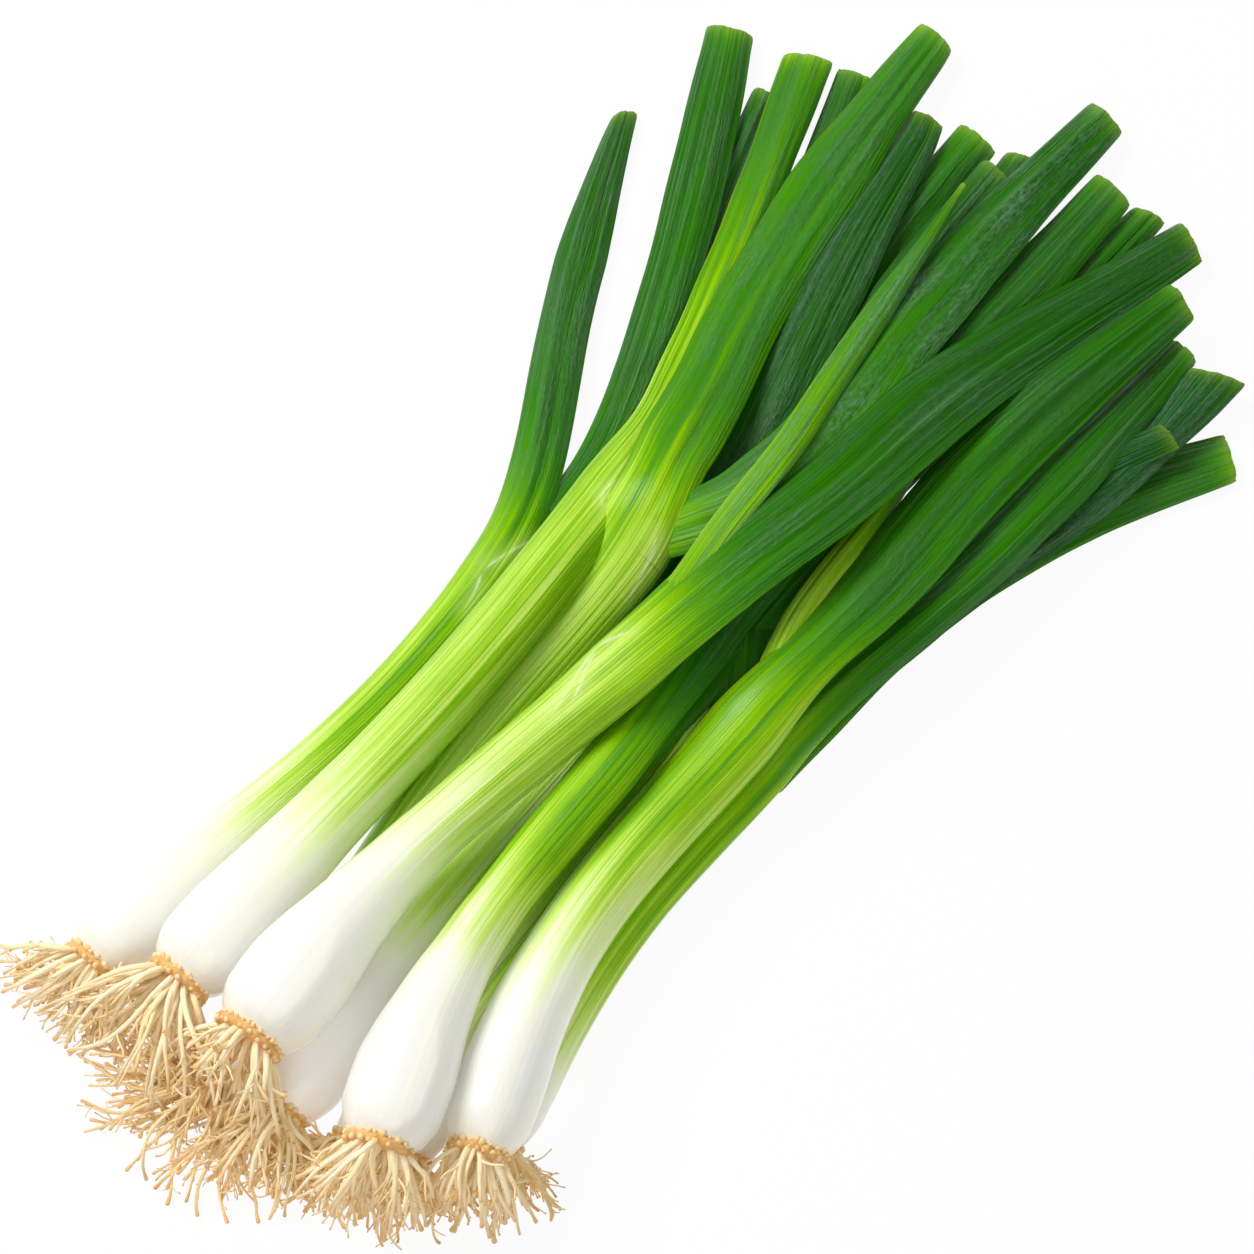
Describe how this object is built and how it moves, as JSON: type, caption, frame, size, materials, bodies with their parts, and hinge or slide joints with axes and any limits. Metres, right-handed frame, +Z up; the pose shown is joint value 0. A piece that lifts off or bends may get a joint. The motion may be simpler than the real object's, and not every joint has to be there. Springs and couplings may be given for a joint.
{
  "type": "spring onion bunch",
  "caption": "Loose bunch of spring onions lying flat, with white bulbs, fibrous roots and long green leaves with cut ends.",
  "frame": {"origin": "centre of the bunch's bounding box, on the surface that the bunch lies on", "axes": "+X along the bunch from the roots to the leaf tips, +Y across the bunch, +Z up from the surface"},
  "size_m": [0.3814, 0.1928, 0.0431],
  "materials": {
    "stalk_skin": "smooth moist plant skin, ivory white at the bulb and lime green towards the fork",
    "leaf_skin": "waxy ribbed leaf skin, mid to deep green",
    "root_fibre": "matt straw-coloured dry root fibres"
  },
  "bodies": {
    "root": {"onion_1_stalk": "stalk_skin", "onion_1_roots": "root_fibre", "onion_1_leaf_1": "leaf_skin", "onion_1_leaf_2": "leaf_skin", "onion_2_stalk": "stalk_skin", "onion_2_roots": "root_fibre", "onion_2_leaf_1": "leaf_skin", "onion_2_leaf_2": "leaf_skin", "onion_3_stalk": "stalk_skin", "onion_3_roots": "root_fibre", "onion_3_leaf_1": "leaf_skin", "onion_3_leaf_2": "leaf_skin", "onion_4_stalk": "stalk_skin", "onion_4_roots": "root_fibre", "onion_4_leaf_1": "leaf_skin", "onion_4_leaf_2": "leaf_skin", "onion_5_stalk": "stalk_skin", "onion_5_roots": "root_fibre", "onion_5_leaf_1": "leaf_skin", "onion_5_leaf_2": "leaf_skin", "onion_6_stalk": "stalk_skin", "onion_6_roots": "root_fibre", "onion_6_leaf_1": "leaf_skin", "onion_6_leaf_2": "leaf_skin", "onion_7_stalk": "stalk_skin", "onion_7_roots": "root_fibre", "onion_7_leaf_1": "leaf_skin", "onion_7_leaf_2": "leaf_skin", "onion_8_stalk": "stalk_skin", "onion_8_roots": "root_fibre", "onion_8_leaf_1": "leaf_skin", "onion_8_leaf_2": "leaf_skin", "onion_9_stalk": "stalk_skin", "onion_9_roots": "root_fibre", "onion_9_leaf_1": "leaf_skin", "onion_9_leaf_2": "leaf_skin", "onion_9_leaf_3": "leaf_skin", "onion_10_stalk": "stalk_skin", "onion_10_roots": "root_fibre", "onion_10_leaf_1": "leaf_skin", "onion_10_leaf_2": "leaf_skin", "onion_10_leaf_3": "leaf_skin", "onion_10_leaf_4": "leaf_skin"}
  },
  "joints": []
}
